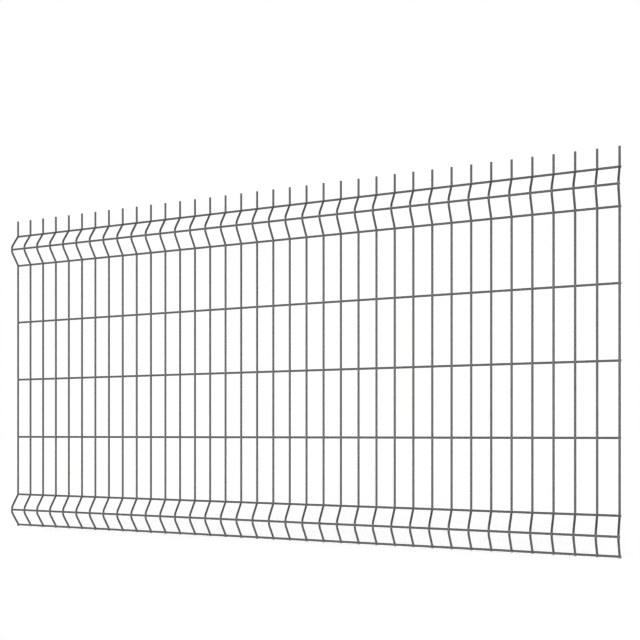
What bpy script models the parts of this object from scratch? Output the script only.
"""Welded mesh fence panel with two pressed V folds, all wires welded into one lattice.

The frame: +X runs along the fence, +Y points at the posts and +Z is up. The origin lies where
the lower left clip holds the panel: on the flat back of the bottom cross wire. The plane y = 0
is the face of the posts. Lengths are in metres.
"""

import math

import bmesh
import bpy
from mathutils import Matrix

# The wires
UPRIGHT_DIAMETER = 0.0055
CROSS_WIRE_DIAMETER = 0.0055
WELD_SET_DOWN = 0.0008

# Across the panel
UPRIGHT_COUNT = 37
UPRIGHT_PITCH = 0.0556
CROSS_WIRE_OVERHANG = 0.001
CLIP_INSET = 0.015

# Up the panel, from the tips of the tails to the tips of the spikes
TAIL_LENGTH = 0.004
BOTTOM_WIRE_DROP = 0.003
BOTTOM_FOLD_HEIGHT = 0.1025
LOWEST_MESH_HEIGHT = 0.201
MESH_HEIGHT = 0.200
FREE_ROW_COUNT = 3
HIGHEST_MESH_HEIGHT = 0.1985
TOP_FOLD_HEIGHT = 0.102
SPIKE_LENGTH = 0.052

# Out of the panel, on the centre lines of the uprights
FOLD_DEPTH = 0.030
APEX_RADIUS = 0.027

# How finely the round wire and the rounded apex are drawn
SECTION_SIDES = 6
APEX_STATIONS = 4

COATING_COLOUR = (0.072, 0.073, 0.075, 1.0)
COATING_ROUGHNESS = 0.38
SMOOTH_BELOW = math.radians(70)


def corner_reach(diameter):
    """From the axis to a corner of the section whose area is that of the round wire."""
    turn = 2 * math.pi / SECTION_SIDES
    return diameter / 2 * math.sqrt(turn / math.sin(turn))


def flat_reach(diameter):
    """From the axis to a flat of that section."""
    return corner_reach(diameter) * math.cos(math.pi / SECTION_SIDES)


# A corner of each upright is sunk into the front flat of the cross wires
WELD_REACH = corner_reach(UPRIGHT_DIAMETER) + flat_reach(CROSS_WIRE_DIAMETER) - WELD_SET_DOWN
CROSS_WIRE_Y = -flat_reach(CROSS_WIRE_DIAMETER)
UPRIGHT_Y = CROSS_WIRE_Y - WELD_REACH

LEFT_END_X = -CLIP_INSET
FIRST_UPRIGHT_X = LEFT_END_X + CROSS_WIRE_OVERHANG + UPRIGHT_DIAMETER / 2
LAST_UPRIGHT_X = FIRST_UPRIGHT_X + (UPRIGHT_COUNT - 1) * UPRIGHT_PITCH
RIGHT_END_X = LAST_UPRIGHT_X + UPRIGHT_DIAMETER / 2 + CROSS_WIRE_OVERHANG

BOTTOM_FOLD_Z = BOTTOM_WIRE_DROP
FIELD_BOTTOM_Z = BOTTOM_FOLD_Z + BOTTOM_FOLD_HEIGHT
FIRST_FREE_ROW_Z = FIELD_BOTTOM_Z + LOWEST_MESH_HEIGHT
LAST_FREE_ROW_Z = FIRST_FREE_ROW_Z + (FREE_ROW_COUNT - 1) * MESH_HEIGHT
TOP_FOLD_Z = LAST_FREE_ROW_Z + HIGHEST_MESH_HEIGHT
TOP_WIRE_Z = TOP_FOLD_Z + TOP_FOLD_HEIGHT


def fold_lean(height):
    """The angle of a fold's legs: tangent to the rounded apex and aimed at the fold's corners."""
    half = height / 2
    behind = APEX_RADIUS - FOLD_DEPTH
    return math.asin(APEX_RADIUS / math.hypot(half, behind)) - math.atan2(behind, half)


def fold_stations(bottom, height):
    """A fold's stations from its lower corner to its upper one, as (y, z, heading after it).

    Between the legs the stations are the corners of a polygon drawn round the apex's arc, so
    that its middle side touches FOLD_DEPTH.
    """
    lean = fold_lean(height)
    step = 2 * lean / APEX_STATIONS
    reach = APEX_RADIUS / math.cos(step / 2)
    centre_y = UPRIGHT_Y - FOLD_DEPTH + APEX_RADIUS
    centre_z = bottom + height / 2
    stations = [(UPRIGHT_Y, bottom, lean)]
    for number in range(APEX_STATIONS):
        angle = lean - (number + 0.5) * step
        y = centre_y - reach * math.cos(angle)
        z = centre_z - reach * math.sin(angle)
        stations.append((y, z, angle - step / 2))
    stations.append((UPRIGHT_Y, bottom + height, 0.0))
    return stations


def upright_stations():
    """The stations of one upright from its tail to the tip of its spike."""
    stations = [(UPRIGHT_Y, -TAIL_LENGTH, 0.0)]
    stations += fold_stations(BOTTOM_FOLD_Z, BOTTOM_FOLD_HEIGHT)
    stations += fold_stations(TOP_FOLD_Z, TOP_FOLD_HEIGHT)
    stations.append((UPRIGHT_Y, TOP_WIRE_Z + SPIKE_LENGTH, 0.0))
    return stations


def upright_sections(x):
    """A matrix for each station of an upright, which mitres the section between two headings."""
    sections = []
    before = 0.0
    for y, z, after in upright_stations():
        half_turn = (after - before) / 2
        place = Matrix.Translation((x, y, z))
        turn = Matrix.Rotation(before + half_turn, 4, "X")
        mitre = Matrix.Scale(1 / math.cos(half_turn), 4, (0.0, 1.0, 0.0))
        sections.append(place @ turn @ mitre)
        before = after
    return sections


def cross_wire_places():
    """The (y, z) of each cross wire: one at each end and at the apex of a fold, the rest free."""
    free_rows = [FIRST_FREE_ROW_Z + row * MESH_HEIGHT for row in range(FREE_ROW_COUNT)]
    flat_rows = [0.0, FIELD_BOTTOM_Z, *free_rows, TOP_FOLD_Z, TOP_WIRE_Z]
    apex_rows = [BOTTOM_FOLD_Z + BOTTOM_FOLD_HEIGHT / 2, TOP_FOLD_Z + TOP_FOLD_HEIGHT / 2]
    places = [(CROSS_WIRE_Y, z) for z in flat_rows]
    places += [(CROSS_WIRE_Y - FOLD_DEPTH, z) for z in apex_rows]
    return places


def cross_wire_sections(y, z):
    """A cross wire's two end sections, turned so that one flat faces the posts."""
    along_x = Matrix.Rotation(math.pi / 2, 4, "Y")
    flat_back = Matrix.Rotation(math.pi / SECTION_SIDES, 4, "Z")
    ends = (LEFT_END_X, RIGHT_END_X)
    return [Matrix.Translation((x, y, z)) @ along_x @ flat_back for x in ends]


def draw_wire(mesh, diameter, sections):
    """One closed wire: a filled circle of few sides, extruded from each section to the next."""
    circle = bmesh.ops.create_circle(
        mesh,
        cap_ends=True,
        radius=corner_reach(diameter),
        segments=SECTION_SIDES,
        matrix=sections[0],
    )
    end = circle["verts"][0].link_faces[0]
    for last, following in zip(sections, sections[1:]):
        taken = [end, *end.edges, *end.verts]
        made = bmesh.ops.extrude_face_region(mesh, geom=taken)["geom"]
        end = next(item for item in made if isinstance(item, bmesh.types.BMFace))
        bmesh.ops.transform(mesh, matrix=following @ last.inverted(), verts=end.verts)


def finish_object(name, mesh, material):
    """Turns the wires' faces outwards and puts them into the scene as one object."""
    bmesh.ops.recalc_face_normals(mesh, faces=mesh.faces)
    data = bpy.data.meshes.new(name)
    mesh.to_mesh(data)
    mesh.free()
    data.materials.append(material)
    data.shade_smooth()
    data.set_sharp_from_angle(angle=SMOOTH_BELOW)
    made = bpy.data.objects.new(name, data)
    bpy.context.scene.collection.objects.link(made)
    return made


def make_uprights(material):
    """All the bent uprights, in the object that becomes the panel."""
    mesh = bmesh.new()
    for number in range(UPRIGHT_COUNT):
        x = FIRST_UPRIGHT_X + number * UPRIGHT_PITCH
        draw_wire(mesh, UPRIGHT_DIAMETER, upright_sections(x))
    return finish_object("welded_mesh_panel", mesh, material)


def make_cross_wires(material):
    """All the cross wires as one guide, to be welded to the uprights."""
    mesh = bmesh.new()
    for y, z in cross_wire_places():
        draw_wire(mesh, CROSS_WIRE_DIAMETER, cross_wire_sections(y, z))
    guide = finish_object("cross_wires", mesh, material)
    guide.hide_render = True
    guide.display_type = "WIRE"
    return guide


def weld(panel, cross_wires):
    """Fuses the uprights with the cross wires at every crossing."""
    welds = panel.modifiers.new("welds", "BOOLEAN")
    welds.operation = "UNION"
    welds.solver = "EXACT"
    welds.object = cross_wires


def coated_steel():
    """The dark grey powder coat over galvanised wire."""
    material = bpy.data.materials.new("dark_grey_coated_steel")
    material.use_nodes = True
    surface = material.node_tree.nodes["Principled BSDF"]
    surface.inputs["Base Color"].default_value = COATING_COLOUR
    surface.inputs["Roughness"].default_value = COATING_ROUGHNESS
    surface.inputs["Metallic"].default_value = 0.0
    return material


for old in list(bpy.data.objects):
    bpy.data.objects.remove(old)
coating = coated_steel()
weld(make_uprights(coating), make_cross_wires(coating))
